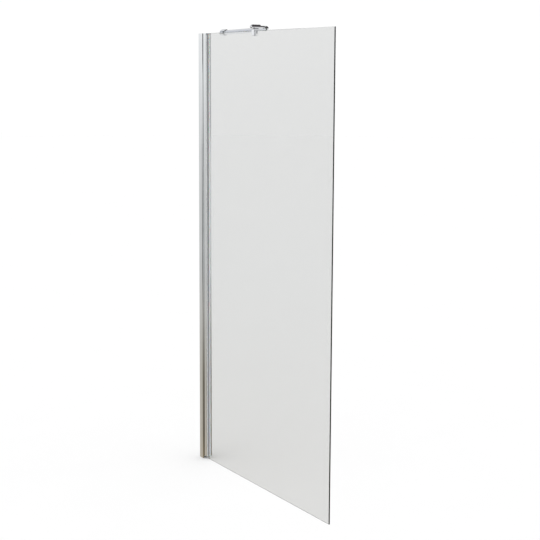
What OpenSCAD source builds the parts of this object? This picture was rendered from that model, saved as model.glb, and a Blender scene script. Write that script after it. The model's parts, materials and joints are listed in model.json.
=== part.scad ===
// Fixed shower screen: a glass panel held in a two-part wall profile and braced by a swivelling arm.
// X runs from the wall along the glass, Y from the front of the glass to the back, Z upwards.
// The origin is on the wall, on the middle plane of the glass, level with the bottom of the glass.

/* [Screen] */
// Width of the screen, from the wall to the free edge of the glass
screen_w = 1000; // [800:10:1400]
// Height of the screen
screen_h = 1900; // [1500:10:2100]
// Thickness of the glass
glass_t = 6; // [5:1:8]
// Width of the ground arris along the edges of the glass
glass_arris = 0.6; // [0.2:0.1:1]

/* [Wall channel] */
// Depth of the channel, out from the wall
channel_d = 30; // [28:1:36]
// Width of the channel, across the glass
channel_w = 40; // [38:1:50]
// Thickness of the channel's back and sides
channel_wall = 2.5; // [1.5:0.5:3]
// Thickness of the lips at the channel's mouth
channel_lip = 3; // [2:0.5:4]
// Radius of the channel's front corners
channel_r = 4; // [1:0.5:5]
// Diameter of the holes for the wall screws
fixing_d = 5.5; // [4:0.5:6.5]
// Height of the lowest wall screw, and drop of the highest from the top
fixing_end = 100; // [60:10:200]
// Number of wall screws
fixing_n = 3; // [2:1:5]

/* [Glass profile] */
// Distance from the wall to the mouth of the glass profile
profile_x = 54; // [52:1:64]
// Width of the glass profile, across the glass
profile_w = 30; // [26:1:32]
// Thickness of the profile's sides and web
profile_wall = 2; // [1.5:0.5:2.5]
// Radius of the profile's front corners
profile_r = 1; // [0.5:0.5:2]
// Length of the pocket in front of the web, which holds the glass and its gaskets
pocket_d = 16; // [14:1:20]
// Thickness of the lips that keep the gaskets in
profile_lip = 3; // [2:0.5:4]
// Reach of each lip over the pocket
lip_reach = 4; // [3:0.5:5]
// Height of the profile's foot above the bottom of the glass
profile_foot = 13; // [0:1:20]
// Thickness of the profile's top cap
cap_t = 2; // [1.5:0.5:4]
// Depth of the cap's plug inside the profile
cap_plug = 8; // [4:1:15]

/* [Width adjustment] */
// Travel of the glass profile towards the wall
slide_in = 10; // [5:1:12]
// Travel of the glass profile away from the wall
slide_out = 5; // [2:1:8]
// Gap behind the glass profile at the end of that inward travel
slide_end_gap = 0.5; // [0.3:0.1:1]
// Gap on each side where the profile slides in the channel
slide_gap = 0.3; // [0.2:0.1:0.5]
// Distance from the wall to the lock screws
lock_x = 21.5; // [19:0.5:22]
// Diameter of the lock screws' shanks
lock_d = 3.5; // [3:0.5:4.5]
// Reach of the lock screws past the profile's side
lock_reach = 1; // [0.5:0.5:3]
// Diameter of the lock screws' heads
lock_head_d = 7; // [6:0.5:9]
// Height of the lock screws' heads
lock_head_h = 2.4; // [2:0.2:3]
// Height of the lowest lock screw, and drop of the highest from the top
lock_end = 150; // [80:10:250]
// Number of lock screws
lock_n = 3; // [2:1:5]
// Side wall of the caps over the lock screws
cover_wall = 1.4; // [1:0.1:2]
// Thickness of the caps' tops
cover_top = 1; // [0.8:0.1:1.4]

/* [Glazing] */
// Thickness of the strip behind the edge of the glass
edge_strip_t = 2; // [1:0.5:3]
// Gap between a gasket and the metal round it
gasket_gap = 0.1; // [0.05:0.05:0.2]
// Gap between a gasket and the glass
glass_gap = 0.05; // [0.02:0.01:0.1]

/* [Clamp] */
// Distance from the wall to the middle of the clamp
clamp_x = 441; // [300:1:600]
// Width of the clamp's saddle and front jaw along the glass
clamp_w = 20; // [16:1:26]
// Thickness of the front jaw
front_jaw = 10; // [6:0.5:12]
// Depth of the front jaw below the top of the glass
jaw_drop = 21; // [16:1:30]
// Thickness of the back jaw
back_jaw = 7; // [6:0.5:9]
// Width of the back jaw along the glass
back_jaw_w = 12; // [10:1:16]
// Depth of the back jaw below the top of the glass
back_drop = 11; // [9:1:16]
// Height of the saddle above the top of the glass
saddle_h = 8; // [6:0.5:10]
// Radius of the front jaw's outer corners
clamp_r = 3; // [1:0.5:4]
// Diameter of the round head on the saddle
head_d = 19; // [16:0.5:22]
// Distance from the glass's middle plane to the domed front end of the head
head_front = 25; // [20:0.5:30]
// Distance from the glass's middle plane to the back end of the head
head_back = 20.5; // [18:0.5:24]
// Thickness of the soft liner between the clamp and the glass
liner_t = 0.8; // [0.5:0.1:1.5]
// Diameter of the grub screw in the back jaw
clamp_grub_d = 5; // [4:1:6]
// Length of the grub screw in the back jaw
clamp_grub_l = 6; // [4:0.5:7]
// Diameter of the stud that joins the head and the swivel's neck
stud_d = 6; // [5:0.5:7]
// Depth of the stud in each of the two
stud_bite = 9; // [6:1:11]

/* [Swivels] */
// Diameter of the balls that the two swivels' domes are cut from
boss_d = 28; // [26:1:32]
// Diameter of the neck between the clamp's head and its dome
neck_d = 10; // [9:0.5:10.5]
// Drop from the top of that dome to the top of the neck
neck_drop = 0.2; // [0.1:0.1:1]
// Diameter of the eye under that dome
eye_d = 24; // [18:0.5:26]
// Thickness of that eye
eye_t = 5.5; // [4:0.5:6]
// Depth of the slot behind the bracket's pivot pin
slot_back = 12; // [11.5:0.5:14]
// Thickness of the tongue in that slot
tongue_t = 8; // [6:0.5:9]
// Width of the tongue in that slot
tongue_w = 16; // [14:0.5:16]
// Diameter of the pivot pins
pin_d = 6; // [5:0.5:8]
// Depth of the clamp's pivot pin in the dome
pin_bite = 8; // [5:0.5:9]
// Diameter of that pin's head
pin_head_d = 13; // [10:0.5:16]
// Thickness of that pin's head
pin_head_h = 2; // [1.5:0.25:3]
// Depth of each end of the bracket's pivot pin below the surface of the boss
pin_recess = 1.5; // [1:0.25:3]
// Gap round a pivot pin where the eye turns
pin_gap = 0.05; // [0.02:0.01:0.1]
// Thickness of the washers above and below each eye
washer_t = 0.8; // [0.5:0.1:1.2]
// Outer diameter of the washers
washer_d = 14; // [12:0.5:15]
// Gap between a washer and the eye
swivel_gap = 0.2; // [0.1:0.05:0.4]
// Gap between a dome and the collar of its eye
collar_gap = 1.5; // [1:0.25:3]

/* [Support arm] */
// Height of the arm's axis above the top of the glass
arm_rise = 6.5; // [4:0.5:8]
// Distance from the glass's middle plane to the pivot on the clamp
clamp_pivot_y = 48.5; // [44:0.5:60]
// Outer diameter of the arm's tube
tube_d = 19; // [18:0.5:20]
// Wall of the arm's tube
tube_wall = 1.5; // [1:0.25:1.75]
// Wall of the bush between the tube and the rod that slides in it
bush_wall = 2; // [1:0.1:2.5]
// Distance from the clamp's pivot to the mouth of the tube
tube_mouth = 97; // [70:1:120]
// Length of the rod inside the tube
rod_inside = 100; // [80:5:140]
// Diameter of the spigot on the rod's eye
eye_spigot_d = 7; // [5:0.5:8]
// Length of that spigot in the rod
eye_spigot_l = 12; // [8:1:20]
// Thickness of the eyes' collars behind the rod and behind the tube
collar_l = 4; // [3:0.5:6]
// Length of the wall end eye's spigot in the tube
spigot_l = 18; // [12:1:30]
// Length of the bush inside the mouth of the tube
bush_l = 14; // [12:1:20]
// Thickness of the bush's rim
bush_rim = 2; // [1:0.5:3]
// Length of the guide on the inner end of the rod
guide_l = 10; // [6:1:14]
// Running gap of the rod in its bush, and of the guide in the tube
rod_gap = 0.08; // [0.04:0.01:0.1]
// Diameter of the screw that locks the rod
rod_lock_d = 4; // [3:0.5:5]
// Diameter of the rod's spigot in its guide
guide_spigot_d = 7; // [5:0.5:9]

/* [Wall bracket] */
// Distance from the glass's middle plane to the bracket
bracket_y = 100; // [70:1:140]
// Distance from the wall to the bracket's pivot
bracket_pivot_x = 27; // [25:1:34]
// Diameter of the plate that is screwed to the wall
plate_d = 21.8; // [19:0.2:22]
// Thickness of that plate
plate_t = 5.8; // [5:0.2:7]
// Diameter of the recess for the screw's head
plate_recess_d = 10.4; // [9:0.2:12]
// Depth of the recess for the screw's head
plate_recess = 3; // [2:0.5:4]
// Gap between the plate and the bracket's boss
plate_gap = 0.1; // [0.05:0.05:0.3]
// Diameter of the grub screw that holds the boss on the plate
boss_grub_d = 4; // [3:0.5:4.5]
// Depth of that grub screw below the surface of the boss
boss_grub_sink = 0.4; // [0.2:0.1:1]

/* [Hidden] */
$fn = 64;
eps = 0.01;
fit_gap = 0.05;             // round pieces that are pressed, screwed or glued into each other
mouth_w = profile_w + 2 * slide_gap;
pocket_x = profile_x - pocket_d;
web_x = pocket_x - profile_wall;
profile_back_x = channel_wall + slide_in + slide_end_gap;
profile_top = screen_h - cap_t;
pocket_w = profile_w - 2 * profile_wall;
lip_gap_w = pocket_w - 2 * lip_reach;
glass_x = pocket_x + edge_strip_t;
lock_slot_h = lock_d + 2 * slide_gap;
lock_tip_y = profile_w / 2 - profile_wall - lock_reach;
cover_d = lock_head_d + 2 * (fit_gap + cover_wall);
cover_h = lock_head_h + cover_top;
arm_z = screen_h + arm_rise;
liner_w = glass_t + 2 * liner_t;
clamp_l = front_jaw + liner_w + back_jaw;
dome_rise = eye_t / 2 + swivel_gap + washer_t;
neck_rise = (boss_d - neck_d) / 2 - neck_drop;
neck_l = clamp_pivot_y - head_back - pin_d / 3;
head_z = arm_z + neck_rise;
slot_h = tongue_t + 2 * (washer_t + swivel_gap);
collar_x = boss_d / 2 + collar_gap;
arm_dx = clamp_x - bracket_pivot_x;
arm_dy = bracket_y - clamp_pivot_y;
arm_l = norm([arm_dx, arm_dy]);
arm_angle = atan2(arm_dy, arm_dx);
tube_bore = tube_d - 2 * tube_wall;
tube_start = collar_x + collar_l;
tube_end = arm_l - tube_mouth;
rod_d = tube_bore - 2 * bush_wall;
rod_start = collar_x + collar_l;
rod_end = tube_mouth + rod_inside;
rod_lock_x = tube_mouth + bush_l / 2;

chrome = [0.80, 0.81, 0.82];
bright_aluminium = [0.74, 0.75, 0.76];
steel = [0.62, 0.63, 0.65];
clear_glass = [0.80, 0.85, 0.84, 0.45];
grey_rubber = [0.55, 0.56, 0.57];
clear_vinyl = [0.86, 0.88, 0.88];
white_nylon = [0.90, 0.90, 0.88];

// Heights of n screws in a row, the outer ones a set distance from the ends
function row_z(n, end) = [for (i = [0 : n - 1]) end + i * (screen_h - 2 * end) / (n - 1)];

// Rectangle from a corner, with two rounded corners on its +X side
module nosed_rect(x, y, dx, dy, r) {
    translate([x, y]) square([dx - r, dy]);
    translate([x, y + r]) square([dx, dy - 2 * r]);
    for (cy = [y + r, y + dy - r]) translate([x + dx - r, cy]) circle(r);
}

// Round bar along +X from a start to an end
module bar_x(d, from, to) {
    translate([from, 0, 0]) rotate([0, 90, 0]) cylinder(d = d, h = to - from);
}

// Grub screw along +Z from its tip, with a hexagon socket in its outer end
module grub_screw(d, l) {
    difference() {
        cylinder(d = d, h = l);
        translate([0, 0, l - d / 3]) cylinder(d = d / 2, h = d, $fn = 6);
    }
}

// Cross recess of a screw head whose top is at z = 0
module cross_recess(d, depth) {
    for (a = [0, 90]) rotate([0, 0, a]) translate([-d / 2, -d / 10, -depth]) cube([d, d / 5, 2 * depth]);
}

// Frames of the arm: the first starts at the clamp's pivot, the second at the bracket's pivot
module from_clamp() {
    translate([clamp_x, clamp_pivot_y, arm_z]) rotate([0, 0, 180 - arm_angle]) children();
}

module from_bracket() {
    translate([bracket_pivot_x, bracket_y, arm_z]) rotate([0, 0, -arm_angle]) children();
}

// Round bar along +Z up to the origin, and a half ball on its end
module domed_bar(d, l) {
    rotate_extrude() {
        translate([0, -l]) square([d / 2, l]);
        intersection() {
            circle(d = d);
            square(d);
        }
    }
}

// The two washers of a swivel, one against each side of a space for the eye
module washer_pair(space_h) {
    color(white_nylon) for (z = [-space_h / 2, space_h / 2 - washer_t]) translate([0, 0, z])
        difference() {
            cylinder(d = washer_d, h = washer_t);
            translate([0, 0, -washer_t]) cylinder(d = pin_d + 2 * pin_gap, h = 3 * washer_t);
        }
}

// Flat eye with its bore at the origin, a tongue and a collar out along +X, and a spigot on the collar
module eye(d, w, t, collar_d, spigot_d, spigot_len) {
    difference() {
        union() {
            cylinder(d = d, h = t, center = true);
            translate([0, -w / 2, -t / 2]) cube([collar_x + collar_l / 2, w, t]);
            bar_x(collar_d, collar_x, collar_x + collar_l);
            bar_x(spigot_d, collar_x + collar_l - eps, collar_x + collar_l + spigot_len);
        }
        cylinder(d = pin_d + 2 * pin_gap, h = 2 * t, center = true);
    }
}

module wall_channel() {
    color(bright_aluminium) difference() {
        linear_extrude(screen_h) difference() {
            nosed_rect(0, -channel_w / 2, channel_d, channel_w, channel_r);
            translate([channel_wall, -channel_w / 2 + channel_wall])
                square([channel_d - channel_wall - channel_lip, channel_w - 2 * channel_wall]);
            translate([channel_wall, -mouth_w / 2]) square([channel_d, mouth_w]);
        }
        for (z = row_z(fixing_n, fixing_end)) translate([0, 0, z]) bar_x(fixing_d, -1, channel_wall + 1);
        for (z = row_z(lock_n, lock_end)) translate([lock_x, channel_w / 2 + 1, z])
            rotate([90, 0, 0]) cylinder(d = lock_d + 2 * fit_gap, h = channel_wall + 2);
    }
}

module lock_screws() {
    color(steel) for (z = row_z(lock_n, lock_end)) translate([lock_x, channel_w / 2, z])
        rotate([-90, 0, 0]) difference() {
            union() {
                translate([0, 0, lock_tip_y - channel_w / 2])
                    cylinder(d = lock_d, h = channel_w / 2 - lock_tip_y);
                cylinder(d = lock_head_d, h = lock_head_h);
            }
            translate([0, 0, lock_head_h]) cross_recess(lock_head_d * 0.6, lock_head_h / 2);
        }
}

module lock_screw_covers() {
    color(chrome) for (z = row_z(lock_n, lock_end)) translate([lock_x, channel_w / 2, z])
        rotate([-90, 0, 0]) difference() {
            union() {
                cylinder(d = cover_d, h = cover_h - cover_top);
                translate([0, 0, cover_h - cover_top])
                    cylinder(d1 = cover_d, d2 = cover_d - 2 * cover_top, h = cover_top);
            }
            translate([0, 0, -eps]) cylinder(d = lock_head_d + 2 * fit_gap, h = lock_head_h + eps);
        }
}

// Outer outline of the glass profile's section
module profile_outline() {
    nosed_rect(profile_back_x, -profile_w / 2, profile_x - profile_back_x, profile_w, profile_r);
}

module glass_profile() {
    color(bright_aluminium) difference() {
        translate([0, 0, profile_foot]) linear_extrude(profile_top - profile_foot) difference() {
            profile_outline();
            translate([profile_back_x - 1, -pocket_w / 2]) square([web_x - profile_back_x + 1, pocket_w]);
            translate([pocket_x, -pocket_w / 2]) square([pocket_d - profile_lip, pocket_w]);
            translate([pocket_x, -lip_gap_w / 2]) square([pocket_d + 1, lip_gap_w]);
        }
        for (z = row_z(lock_n, lock_end)) translate([lock_x, pocket_w / 2 - 1, z]) {
            translate([-slide_out, 0, -lock_slot_h / 2])
                cube([slide_out + slide_in, profile_wall + 2, lock_slot_h]);
            for (x = [-slide_out, slide_in]) translate([x, 0, 0]) rotate([-90, 0, 0])
                cylinder(d = lock_slot_h, h = profile_wall + 2);
        }
    }
}

module profile_top_cap() {
    color(bright_aluminium) difference() {
        union() {
            translate([0, 0, profile_top]) linear_extrude(cap_t) profile_outline();
            translate([profile_back_x, -pocket_w / 2 + gasket_gap, profile_top - cap_plug])
                cube([web_x - profile_back_x - gasket_gap, pocket_w - 2 * gasket_gap, cap_plug + eps]);
        }
        translate([glass_x - glass_gap, -glass_t / 2 - glass_gap, profile_top - 1])
            cube([profile_x, glass_t + 2 * glass_gap, cap_t + 2]);
    }
}

// Outline of a slab's section from a corner, with an arris cut off each corner
module arrised_rect(x, y, dx, dy, c) {
    polygon([[x + c, y], [x + dx - c, y], [x + dx, y + c], [x + dx, y + dy - c],
        [x + dx - c, y + dy], [x + c, y + dy], [x, y + dy - c], [x, y + c]]);
}

module glass_panel() {
    glass_w = screen_w - glass_x;
    color(clear_glass) intersection() {
        linear_extrude(screen_h) arrised_rect(glass_x, -glass_t / 2, glass_w, glass_t, glass_arris);
        translate([glass_x, 0, 0]) rotate([90, 0, 90]) linear_extrude(glass_w)
            arrised_rect(-glass_t / 2, 0, glass_t, screen_h, glass_arris);
    }
}

module glass_edge_strip() {
    color(grey_rubber) translate([pocket_x, -glass_t / 2, profile_foot])
        cube([edge_strip_t, glass_t, profile_top - profile_foot]);
}

// Gasket on the back of the glass: a leg along the glass and a head behind the profile's lip
module gasket() {
    leg_x = glass_x - edge_strip_t / 2;
    leg_y = glass_t / 2 + glass_gap;
    translate([0, 0, profile_foot]) linear_extrude(profile_top - profile_foot) {
        translate([leg_x, leg_y]) square([profile_x - leg_x, lip_gap_w / 2 - gasket_gap - leg_y]);
        translate([leg_x, leg_y])
            square([profile_x - profile_lip - gasket_gap - leg_x, pocket_w / 2 - gasket_gap - leg_y]);
    }
}

module front_gasket() {
    color(grey_rubber) mirror([0, 1, 0]) gasket();
}

module rear_gasket() {
    color(clear_vinyl) gasket();
}

// Places its children at the top of the glass, on its middle plane, in the middle of the clamp
module at_clamp() {
    translate([clamp_x, 0, screen_h]) children();
}

// The front jaw and the saddle over the glass: where their plan and their side view meet
module saddle_and_front_jaw() {
    full_h = jaw_drop + saddle_h;
    intersection() {
        translate([0, 0, -jaw_drop]) linear_extrude(full_h) rotate(-90)
            nosed_rect(-liner_w / 2 - back_jaw, -clamp_w / 2, clamp_l, clamp_w, clamp_r);
        translate([-clamp_w / 2, 0, 0]) rotate([90, 0, 90]) linear_extrude(clamp_w) {
            mirror([1, 0]) nosed_rect(liner_w / 2, -jaw_drop, front_jaw, full_h, clamp_r);
            translate([-liner_w / 2 - 1, liner_t]) square([clamp_l - front_jaw + 1, saddle_h - liner_t]);
        }
    }
}

module clamp_body() {
    color(chrome) at_clamp() difference() {
        union() {
            saddle_and_front_jaw();
            translate([-back_jaw_w / 2, liner_w / 2, -back_drop])
                cube([back_jaw_w, back_jaw, back_drop + saddle_h / 2]);
            translate([0, head_d / 2 - head_front, head_z - screen_h]) rotate([90, 0, 0])
                domed_bar(head_d, head_front + head_back - head_d / 2);
        }
        translate([0, glass_t / 2, -back_drop / 2]) rotate([-90, 0, 0])
            cylinder(d = clamp_grub_d + 2 * fit_gap, h = liner_t + back_jaw + 1);
        translate([0, head_back - stud_bite, head_z - screen_h]) rotate([-90, 0, 0])
            cylinder(d = stud_d + 2 * fit_gap, h = stud_bite + 1);
    }
}

module clamp_liner() {
    color(grey_rubber) at_clamp() difference() {
        union() {
            translate([-clamp_w / 2, -liner_w / 2, -jaw_drop])
                cube([clamp_w, liner_w / 2, jaw_drop + liner_t]);
            translate([-clamp_w / 2, -liner_w / 2, 0]) cube([clamp_w, liner_w, liner_t]);
            translate([-back_jaw_w / 2, -liner_w / 2, -back_drop])
                cube([back_jaw_w, liner_w, back_drop + liner_t]);
        }
        translate([-clamp_w, -glass_t / 2, -2 * jaw_drop]) cube([2 * clamp_w, glass_t, 2 * jaw_drop]);
    }
}

module clamp_grub_screw() {
    color(steel) at_clamp() translate([0, liner_w / 2, -back_drop / 2]) rotate([-90, 0, 0])
        grub_screw(clamp_grub_d, clamp_grub_l);
}

module clamp_stud() {
    color(steel) translate([clamp_x, head_back - stud_bite, head_z]) rotate([-90, 0, 0])
        cylinder(d = stud_d, h = 2 * stud_bite);
}

// The dome over the eye, and the neck from it to the clamp's head
module clamp_swivel_boss() {
    neck_y = head_back - clamp_pivot_y;
    color(chrome) translate([clamp_x, clamp_pivot_y, arm_z]) difference() {
        union() {
            rotate_extrude() intersection() {
                circle(d = boss_d);
                translate([0, dome_rise]) square(boss_d);
            }
            translate([0, neck_y, neck_rise]) rotate([-90, 0, 0]) cylinder(d = neck_d, h = neck_l);
        }
        cylinder(d = pin_d + 2 * fit_gap, h = dome_rise + pin_bite + fit_gap);
        translate([0, neck_y - 1, neck_rise]) rotate([-90, 0, 0])
            cylinder(d = stud_d + 2 * fit_gap, h = stud_bite + 1);
    }
}

module clamp_pivot_pin() {
    color(steel) translate([clamp_x, clamp_pivot_y, arm_z - dome_rise]) difference() {
        union() {
            cylinder(d = pin_d, h = 2 * dome_rise + pin_bite);
            translate([0, 0, -pin_head_h]) cylinder(d = pin_head_d, h = pin_head_h);
        }
        translate([0, 0, -pin_head_h]) cross_recess(pin_head_d * 0.6, pin_head_h / 2);
    }
}

module clamp_washers() {
    translate([clamp_x, clamp_pivot_y, arm_z]) washer_pair(2 * dome_rise);
}

module rod_eye() {
    color(chrome) from_clamp() eye(eye_d, rod_d, eye_t, rod_d, eye_spigot_d, eye_spigot_l);
}

module arm_rod() {
    color(chrome) from_clamp() {
        difference() {
            bar_x(rod_d, rod_start, rod_end - guide_l);
            bar_x(eye_spigot_d + 2 * fit_gap, rod_start - 1, rod_start + eye_spigot_l + fit_gap);
        }
        bar_x(guide_spigot_d, rod_end - guide_l - eps, rod_end);
    }
}

module rod_guide() {
    color(white_nylon) from_clamp() difference() {
        bar_x(tube_bore - 2 * rod_gap, rod_end - guide_l, rod_end);
        bar_x(guide_spigot_d + 2 * fit_gap, rod_end - guide_l - 1, rod_end + 1);
    }
}

module arm_tube() {
    color(chrome) difference() {
        from_bracket() difference() {
            bar_x(tube_d, tube_start, tube_end);
            bar_x(tube_bore, tube_start - 1, tube_end + 1);
        }
        from_clamp() translate([rod_lock_x, 0, -tube_d])
            cylinder(d = rod_lock_d + 2 * fit_gap, h = tube_d);
    }
}

module tube_bush() {
    color(white_nylon) from_clamp() difference() {
        union() {
            bar_x(tube_d, tube_mouth - bush_rim, tube_mouth);
            bar_x(tube_bore - 2 * fit_gap, tube_mouth - eps, tube_mouth + bush_l);
        }
        bar_x(rod_d + 2 * rod_gap, tube_mouth - bush_rim - 1, tube_mouth + bush_l + 1);
        translate([rod_lock_x, 0, -tube_d]) cylinder(d = rod_lock_d + 2 * fit_gap, h = tube_d);
    }
}

module rod_lock_screw() {
    tip = rod_d / 2 + rod_gap;
    color(steel) from_clamp() translate([rod_lock_x, 0, -tip]) mirror([0, 0, 1])
        grub_screw(rod_lock_d, tube_d / 2 - tip);
}

module tube_eye() {
    color(chrome) from_bracket()
        eye(tongue_w, tongue_w, tongue_t, tube_d, tube_bore - 2 * fit_gap, spigot_l);
}

module bracket_boss() {
    color(chrome) translate([bracket_pivot_x, bracket_y, arm_z]) difference() {
        rotate([0, 90, 0]) domed_bar(boss_d, bracket_pivot_x);
        translate([-slot_back, -boss_d, -slot_h / 2]) cube([slot_back + boss_d, 2 * boss_d, slot_h]);
        cylinder(d = pin_d + 2 * fit_gap, h = 2 * boss_d, center = true);
        bar_x(plate_d + 2 * plate_gap, -bracket_pivot_x - 1, plate_t + plate_gap - bracket_pivot_x);
        translate([plate_t / 2 - bracket_pivot_x, 0, -boss_d])
            cylinder(d = boss_grub_d + 2 * fit_gap, h = boss_d);
    }
}

module bracket_wall_plate() {
    color(steel) translate([0, bracket_y, arm_z]) difference() {
        bar_x(plate_d, 0, plate_t);
        bar_x(fixing_d, -1, plate_t + 1);
        bar_x(plate_recess_d, plate_t - plate_recess, plate_t + 1);
    }
}

module bracket_grub_screw() {
    color(steel) translate([plate_t / 2, bracket_y, arm_z - plate_d / 2 - fit_gap]) mirror([0, 0, 1])
        grub_screw(boss_grub_d, (boss_d - plate_d) / 2 - fit_gap - boss_grub_sink);
}

module bracket_pivot_pin() {
    color(steel) translate([bracket_pivot_x, bracket_y, arm_z])
        cylinder(d = pin_d, h = boss_d - 2 * pin_recess, center = true);
}

module bracket_washers() {
    translate([bracket_pivot_x, bracket_y, arm_z]) washer_pair(slot_h);
}

wall_channel();
lock_screws();
lock_screw_covers();
glass_profile();
profile_top_cap();
glass_panel();
glass_edge_strip();
front_gasket();
rear_gasket();
clamp_body();
clamp_liner();
clamp_grub_screw();
clamp_stud();
clamp_swivel_boss();
clamp_pivot_pin();
clamp_washers();
rod_eye();
arm_rod();
rod_guide();
arm_tube();
tube_bush();
rod_lock_screw();
tube_eye();
bracket_boss();
bracket_wall_plate();
bracket_grub_screw();
bracket_pivot_pin();
bracket_washers();
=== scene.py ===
import json
import math

import bmesh
import bpy
from mathutils import Matrix

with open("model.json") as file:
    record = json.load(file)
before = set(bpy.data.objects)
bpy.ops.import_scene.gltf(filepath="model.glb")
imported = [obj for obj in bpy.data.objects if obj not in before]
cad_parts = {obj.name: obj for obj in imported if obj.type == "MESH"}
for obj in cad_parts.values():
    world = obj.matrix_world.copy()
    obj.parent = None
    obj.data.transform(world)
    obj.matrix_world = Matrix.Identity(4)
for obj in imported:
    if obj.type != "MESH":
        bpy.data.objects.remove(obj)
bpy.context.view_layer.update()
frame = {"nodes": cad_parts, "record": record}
nodes = frame["nodes"]
print("frame loaded:", len(nodes), "nodes")


def linear(hexText):
    # an sRGB hex colour as the linear values that a socket takes
    parts = [int(hexText[i:i + 2], 16) / 255 for i in (1, 3, 5)]
    return [c / 12.92 if c <= 0.04045 else ((c + 0.055) / 1.055) ** 2.4 for c in parts] + [1.0]


def connect(tree, node, links):
    # feeds a node's sockets, each from a socket or from another node's first output
    for socket, source in links.items():
        tree.links.new(getattr(source, "outputs", [source])[0], node.inputs[socket])


def addNode(tree, kind, values=None, links=None, **settings):
    # one node, with its own settings, the values of its sockets and what feeds them
    node = tree.nodes.new(kind)
    for name, value in settings.items():
        setattr(node, name, value)
    for socket, value in (values or {}).items():
        node.inputs[socket].default_value = value
    connect(tree, node, links or {})
    return node


def startMaterial(name, values):
    # a material with one Principled shader, and Object coordinates in metres
    material = bpy.data.materials.new(name)
    material.use_nodes = True
    tree = material.node_tree
    shader = tree.nodes["Principled BSDF"]
    for socket, value in values.items():
        shader.inputs[socket].default_value = value
    return material, tree, shader, addNode(tree, "ShaderNodeTexCoord").outputs["Object"]


def mixTones(tree, first, second, share):
    # two hex colours, mixed by a pattern
    return addNode(tree, "ShaderNodeMix", {"A": linear(first), "B": linear(second)},
                   {"Factor": share}, data_type="RGBA").outputs["Result"]


def finishShader(tree, shader, finish, tones, sheen, relief):
    # three patterns: one mixes the finish's colours, one moves its roughness and one gives its bumps
    low, high = finish["roughnessFrom"]
    roughness = addNode(tree, "ShaderNodeMapRange", {
        "From Min": low, "From Max": high,
        "To Min": finish["roughnessLow"], "To Max": finish["roughnessHigh"]}, {"Value": sheen})
    bump = addNode(tree, "ShaderNodeBump", {"Distance": finish["bumpDepth"]}, {"Height": relief})
    connect(tree, shader, {"Base Color": mixTones(tree, finish["dark"], finish["light"], tones),
                           "Roughness": roughness, "Normal": bump})


# Sizes, depths and widths are in metres. A roughness runs from low to high while its pattern runs between
# the two values of roughnessFrom.

# Aluminium, extruded, polished and bright anodised: nearly a mirror, with faint upright draw lines.
aluminium = {"dark": "#DBDDDE", "light": "#E6E8E9", "cloudSize": 0.08,
             "roughnessLow": 0.025, "roughnessHigh": 0.07, "roughnessFrom": (0.3, 0.7),
             "lineWidth": 0.0008, "lineLength": 0.5, "lineDetail": 3.0, "bumpDepth": 0.0000008}


def brightAnodisedAluminium():
    material, tree, shader, place = startMaterial("BrightAnodisedAluminium", {"Metallic": 1.0})
    across, along = 1 / aluminium["lineWidth"], 1 / aluminium["lineLength"]
    drawn = addNode(tree, "ShaderNodeMapping", {"Scale": (across, across, along)}, {"Vector": place})
    lines = addNode(tree, "ShaderNodeTexNoise", {"Scale": 1.0, "Detail": aluminium["lineDetail"]},
                    {"Vector": drawn})
    clouds = addNode(tree, "ShaderNodeTexNoise", {"Scale": 1 / aluminium["cloudSize"]}, {"Vector": place})
    finishShader(tree, shader, aluminium, tones=clouds, sheen=lines, relief=lines)
    return material


# Chrome plate on polished zinc or brass: a cold mirror, with the slight waviness that polishing leaves.
chrome = {"dark": "#DADCDF", "light": "#E4E6E9", "hazeSize": 0.003, "hazeDetail": 4.0,
          "roughnessLow": 0.02, "roughnessHigh": 0.05, "roughnessFrom": (0.3, 0.7),
          "waveSize": 0.015, "bumpDepth": 0.000006}


def chromePlate():
    material, tree, shader, place = startMaterial("ChromePlate", {"Metallic": 1.0})
    haze = addNode(tree, "ShaderNodeTexNoise", {
        "Scale": 1 / chrome["hazeSize"], "Detail": chrome["hazeDetail"]}, {"Vector": place})
    waves = addNode(tree, "ShaderNodeTexNoise", {"Scale": 1 / chrome["waveSize"], "Detail": 0.0},
                    {"Vector": place})
    finishShader(tree, shader, chrome, tones=haze, sheen=haze, relief=waves)
    return material


# Stainless steel, turned and cold headed: a grey satin with fine tool marks.
steel = {"dark": "#A9ABAD", "light": "#C9CBCD", "markSize": 0.0004, "markStretch": 6.0, "markDetail": 2.0,
         "roughnessLow": 0.22, "roughnessHigh": 0.38, "roughnessFrom": (0.3, 0.7), "bumpDepth": 0.000004}


def turnedStainlessSteel():
    material, tree, shader, place = startMaterial("TurnedStainlessSteel", {"Metallic": 1.0})
    around, along = 1 / (steel["markSize"] * steel["markStretch"]), 1 / steel["markSize"]
    turned = addNode(tree, "ShaderNodeMapping", {"Scale": (around, around, along)}, {"Vector": place})
    marks = addNode(tree, "ShaderNodeTexNoise", {"Scale": 1.0, "Detail": steel["markDetail"]},
                    {"Vector": turned})
    finishShader(tree, shader, steel, tones=marks, sheen=marks, relief=marks)
    return material


# Clear toughened float glass: colourless through its faces, dark green in through its ground edges.
glass = {"tint": "#E1E1E1", "index": 1.52, "depthTint": "#9FCBB4", "depthTintPerMetre": 4.0,
         "edgeRoughness": 0.06, "groundUpTo": 0.0028, "clearFrom": 0.00295,
         "waveSize": 0.3, "bumpDepth": 0.00001}


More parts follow.
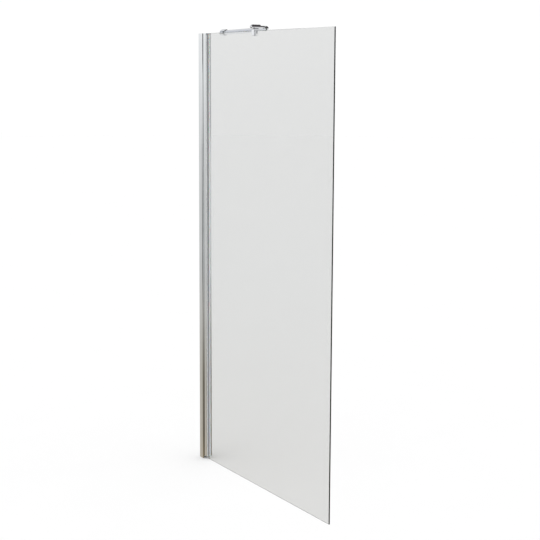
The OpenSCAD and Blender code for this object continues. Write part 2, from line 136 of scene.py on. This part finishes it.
def toughenedGlass():
    material, tree, shader, place = startMaterial("ToughenedFloatGlass", {
        "Base Color": linear(glass["tint"]), "IOR": glass["index"], "Transmission Weight": 1.0})
    # ground from the middle plane up to the arrises, clear on the faces
    across = addNode(tree, "ShaderNodeSeparateXYZ", links={"Vector": place}).outputs["Y"]
    outwards = addNode(tree, "ShaderNodeMath", links={"Value": across}, operation="ABSOLUTE")
    roughness = addNode(tree, "ShaderNodeMapRange", {
        "From Min": glass["groundUpTo"], "From Max": glass["clearFrom"],
        "To Min": glass["edgeRoughness"], "To Max": 0.0}, {"Value": outwards})
    waves = addNode(tree, "ShaderNodeTexNoise", {"Scale": 1 / glass["waveSize"], "Detail": 0.0},
                    {"Vector": place})
    bump = addNode(tree, "ShaderNodeBump", {"Distance": glass["bumpDepth"]}, {"Height": waves})
    volume = addNode(tree, "ShaderNodeVolumeAbsorption", {
        "Color": linear(glass["depthTint"]), "Density": glass["depthTintPerMetre"]})
    connect(tree, shader, {"Roughness": roughness, "Normal": bump})
    connect(tree, tree.nodes["Material Output"], {"Volume": volume})
    return material


# Grey EPDM rubber, extruded: matt, with a fine pore.
rubber = {"dark": "#7A7C7E", "light": "#8A8C8E", "shine": 0.35, "poreSize": 0.0006, "poreDetail": 3.0,
          "roughnessLow": 0.5, "roughnessHigh": 0.72, "roughnessFrom": (0.0, 1.0), "bumpDepth": 0.00003}


def greyRubber():
    material, tree, shader, place = startMaterial("GreyEpdmRubber", {"Specular IOR Level": rubber["shine"]})
    pores = addNode(tree, "ShaderNodeTexNoise", {
        "Scale": 1 / rubber["poreSize"], "Detail": rubber["poreDetail"]}, {"Vector": place})
    finishShader(tree, shader, rubber, tones=pores, sheen=pores, relief=pores)
    return material


# Clear vinyl, extruded: milky and a little wet looking, so that it hardly shows behind the glass.
vinyl = {"dark": "#F6F8F8", "light": "#FCFDFD", "index": 1.53, "milk": 0.3, "milkDepth": 0.004,
         "streakWidth": 0.001, "streakLength": 0.2, "streakDetail": 2.0,
         "roughnessLow": 0.25, "roughnessHigh": 0.4, "roughnessFrom": (0.0, 1.0), "bumpDepth": 0.00001}


def clearVinyl():
    material, tree, shader, place = startMaterial("MilkyClearVinyl", {
        "Subsurface Weight": vinyl["milk"], "Subsurface Scale": vinyl["milkDepth"], "IOR": vinyl["index"]})
    across, along = 1 / vinyl["streakWidth"], 1 / vinyl["streakLength"]
    drawn = addNode(tree, "ShaderNodeMapping", {"Scale": (across, across, along)}, {"Vector": place})
    streaks = addNode(tree, "ShaderNodeTexNoise", {"Scale": 1.0, "Detail": vinyl["streakDetail"]},
                      {"Vector": drawn})
    finishShader(tree, shader, vinyl, tones=streaks, sheen=streaks, relief=streaks)
    return material


# White nylon, injection moulded: a milky satin that lets a little light in.
nylon = {"dark": "#DEDEDA", "light": "#EEEEEA", "index": 1.53, "milk": 0.15, "milkDepth": 0.002,
         "textureSize": 0.0012, "textureDetail": 3.0,
         "roughnessLow": 0.38, "roughnessHigh": 0.55, "roughnessFrom": (0.0, 1.0), "bumpDepth": 0.00002}


def whiteNylon():
    material, tree, shader, place = startMaterial("MouldedWhiteNylon", {
        "Subsurface Weight": nylon["milk"], "Subsurface Scale": nylon["milkDepth"], "IOR": nylon["index"]})
    texture = addNode(tree, "ShaderNodeTexNoise", {
        "Scale": 1 / nylon["textureSize"], "Detail": nylon["textureDetail"]}, {"Vector": place})
    finishShader(tree, shader, nylon, tones=texture, sheen=texture, relief=texture)
    return material


finishes = {
    "bright_aluminium": brightAnodisedAluminium(),
    "chrome": chromePlate(),
    "steel": turnedStainlessSteel(),
    "glass": toughenedGlass(),
    "grey_rubber": greyRubber(),
    "clear_vinyl": clearVinyl(),
    "white_nylon": whiteNylon(),
}

for part in frame["record"]["subparts"]:
    piece = nodes[part["node"]]
    piece.data.materials.clear()
    piece.data.materials.append(finishes[part["material_slot"]])
# clear glass lets the light through, from the lamp and from all round
nodes["glass_panel"].visible_shadow = False
nodes["glass_panel"].visible_diffuse = False
print("materials:", len(finishes))


# the camera, at the photograph's place, height and angle, in metres and degrees
camera = {"place": (4.6585, -2.5771, 1.7229), "turn": 57.845, "down": 8.186, "roll": 0.272,
          "focalPixels": 1204.5, "picturePixels": 540, "sensorMillimetres": 36, "shift": -0.04,
          "near": 0.1, "far": 100}


def makeCamera():
    data = bpy.data.cameras.new("Camera")
    data.sensor_width = camera["sensorMillimetres"]
    data.lens = camera["focalPixels"] / camera["picturePixels"] * camera["sensorMillimetres"]
    data.shift_y = camera["shift"]
    data.clip_start = camera["near"]
    data.clip_end = camera["far"]
    seat = bpy.data.objects.new("Camera", data)
    bpy.context.scene.collection.objects.link(seat)
    turned = (Matrix.Rotation(math.radians(camera["turn"]), 4, "Z")
              @ Matrix.Rotation(math.radians(90 - camera["down"]), 4, "X")
              @ Matrix.Rotation(math.radians(camera["roll"]), 4, "Z"))
    seat.matrix_world = Matrix.Translation(camera["place"]) @ turned
    bpy.context.scene.camera = seat


# the studio: a pale floor, one wide soft lamp and white all round, in metres and degrees
studio = {"floor": "#F5F5F5", "floorMarks": "#F7F7F7", "markSize": 0.4, "floorRoughness": 0.9,
          "floorRadius": 30.0, "floorCorners": 64, "floorMiddle": (0.5, 0.0), "floorDrop": 0.0005,
          "lampDown": 50.0, "lampTurn": 20.0, "lampWidth": 70.0, "lampStrength": 0.328, "surround": 1.01}

# What the mirrors see is a room. Its first patch lies all round. The others lie over it, each towards a
# heading, and fade in between two cosines and, where given, between pairs of heights. Tones go by height,
# from -1 straight down to 1 straight up.
room = {
    "strength": 1.25,
    "patches": [
        {"name": "window side", "tones": [
            (-1.0, "#D8D6D2"), (-0.45, "#DEDCD8"), (-0.33, "#B4AA9C"), (-0.24, "#B2AEA6"),
            (-0.16, "#C0C0BE"), (-0.08, "#CECECC"), (-0.02, "#DADADA"), (0.04, "#F2F2F2"),
            (0.12, "#A8AAB2"), (0.22, "#9498A4"), (0.36, "#B0B2BA"), (0.55, "#D0D2D4"),
            (0.8, "#E0E0E0"), (1.0, "#A8A8A8")]},
        {"name": "far side", "toward": (1.0, 0.0, 0.0), "fade": (-0.55, 0.1), "tones": [
            (-1.0, "#C8C8C8"), (-0.75, "#E0E0E0"), (-0.42, "#F4F4F4"), (-0.31, "#8C8478"),
            (-0.25, "#7A746C"), (-0.20, "#A8A4A0"), (-0.15, "#DCDCDC"), (-0.07, "#EAEAEA"),
            (-0.04, "#C0C0C0"), (0.07, "#C8C8C8"), (0.12, "#4A4648"), (1.0, "#4A4648")]},
        {"name": "behind the camera", "toward": (0.09, -0.996, 0.0), "fade": (0.60, 0.72), "tones": [
            (-1.0, "#B4B0AA"), (-0.7, "#5A544C"), (-0.42, "#5A544C"), (-0.33, "#A08C5E"),
            (-0.29, "#30240C"), (-0.24, "#6A6250"), (-0.2, "#A09C94"), (-0.16, "#3C3C3A"),
            (-0.1, "#484846"), (-0.065, "#6C6C6C"), (-0.04, "#C8C8C8"), (0.0, "#F0F0F0"),
            (0.9, "#F4F4F4"), (1.0, "#A8A8A8")]},
        {"name": "pale tiles", "toward": (-0.985, 0.17, 0.0), "fade": (0.76, 0.84), "tones": [
            (-1.0, "#D8D6D2"), (-0.5, "#F6F6F6"), (-0.3, "#F2F2F2"), (-0.2, "#D8DADC"),
            (-0.1, "#C4C6CC"), (0.0, "#DCDEE0"), (0.08, "#C8CACF"), (0.25, "#C0C2C8"), (0.4, "#DCDCDE"),
            (1.0, "#C8C8C8")]},
        {"name": "dark ceiling", "toward": (0.0, 1.0, 0.0), "fade": (0.36, 0.45), "heights": [(0.06, 0.14)],
         "tones": [(0.0, "#4A4648")]},
        {"name": "window", "toward": (0.0, 1.0, 0.0), "fade": (0.78, 0.85),
         "heights": [(-0.35, -0.25), (0.42, 0.36)], "tones": [(0.0, "#EAEAEA")]},
        {"name": "doorway", "toward": (0.985, -0.17, 0.03), "fade": (0.93, 0.97),
         "heights": [(0.0, 0.01), (0.08, 0.07)], "tones": [(0.0, "#383636")]},
    ],
}


def makeFloor():
    work = bmesh.new()
    bmesh.ops.create_circle(
        work, cap_ends=True, segments=studio["floorCorners"], radius=studio["floorRadius"],
        matrix=Matrix.Translation((*studio["floorMiddle"], -studio["floorDrop"])))
    mesh = bpy.data.meshes.new("Floor")
    work.to_mesh(mesh)
    work.free()
    floor = bpy.data.objects.new("Floor", mesh)
    bpy.context.scene.collection.objects.link(floor)
    material, tree, shader, place = startMaterial("PaleFloor", {
        "Roughness": studio["floorRoughness"], "Specular IOR Level": 0.0})
    marks = addNode(tree, "ShaderNodeTexNoise", {"Scale": 1 / studio["markSize"]}, {"Vector": place})
    connect(tree, shader, {"Base Color": mixTones(tree, studio["floor"], studio["floorMarks"], marks)})
    mesh.materials.append(material)
    floor.visible_glossy = False


def makeLamp():
    data = bpy.data.lights.new("SoftLamp", "SUN")
    data.energy = studio["lampStrength"]
    data.angle = math.radians(studio["lampWidth"])
    lamp = bpy.data.objects.new("SoftLamp", data)
    bpy.context.scene.collection.objects.link(lamp)
    lamp.matrix_world = (Matrix.Rotation(math.radians(studio["lampTurn"]), 4, "Z")
                         @ Matrix.Rotation(math.radians(90 - studio["lampDown"]), 4, "X"))
    lamp.visible_glossy = False


def makeSurround():
    world = bpy.data.worlds.new("Studio")
    bpy.context.scene.world = world
    world.use_nodes = True
    tree = world.node_tree
    direction = addNode(tree, "ShaderNodeTexCoord").outputs["Object"]
    height = addNode(tree, "ShaderNodeSeparateXYZ", links={"Vector": direction}).outputs["Z"]
    share = addNode(tree, "ShaderNodeMapRange", {"From Min": -1.0, "From Max": 1.0}, {"Value": height})
    seen = None
    for patch in room["patches"]:
        tones = addNode(tree, "ShaderNodeValToRGB", links={"Fac": share}, label=patch["name"])
        stops = tones.color_ramp.elements
        while len(stops) > 1:
            stops.remove(stops[-1])
        for number, (place, tone) in enumerate(patch["tones"]):
            position = (place + 1) / 2
            stop = stops.new(position) if number else stops[0]
            stop.position = position
            stop.color = linear(tone)
        if seen is None:
            seen = tones.outputs["Color"]
            continue
        facing = addNode(tree, "ShaderNodeVectorMath", {1: patch["toward"]}, {0: direction},
                         operation="DOT_PRODUCT").outputs["Value"]
        low, high = patch["fade"]
        cover = addNode(tree, "ShaderNodeMapRange", {"From Min": low, "From Max": high}, {"Value": facing})
        for start, end in patch.get("heights", []):
            within = addNode(tree, "ShaderNodeMapRange", {"From Min": start, "From Max": end},
                             {"Value": height})
            cover = addNode(tree, "ShaderNodeMath", links={0: cover, 1: within}, operation="MULTIPLY")
        seen = addNode(tree, "ShaderNodeMix", links={"Factor": cover, "A": seen, "B": tones},
                       data_type="RGBA").outputs["Result"]
    # only reflections see the room, and all other light and sight meets plain white
    ray = addNode(tree, "ShaderNodeLightPath").outputs
    mirrored = addNode(tree, "ShaderNodeMath", links={
        0: ray["Is Glossy Ray"], 1: ray["Is Transmission Ray"]}, operation="SUBTRACT")
    colour = addNode(tree, "ShaderNodeMix", {"A": linear("#FFFFFF")}, {"Factor": mirrored, "B": seen},
                     data_type="RGBA").outputs["Result"]
    strength = addNode(tree, "ShaderNodeMapRange", {
        "To Min": studio["surround"], "To Max": room["strength"]}, {"Value": mirrored})
    connect(tree, tree.nodes["Background"], {"Color": colour, "Strength": strength})


makeCamera()
makeFloor()
makeLamp()
makeSurround()
bpy.context.scene.view_settings.view_transform = "Standard"
print("studio ready")
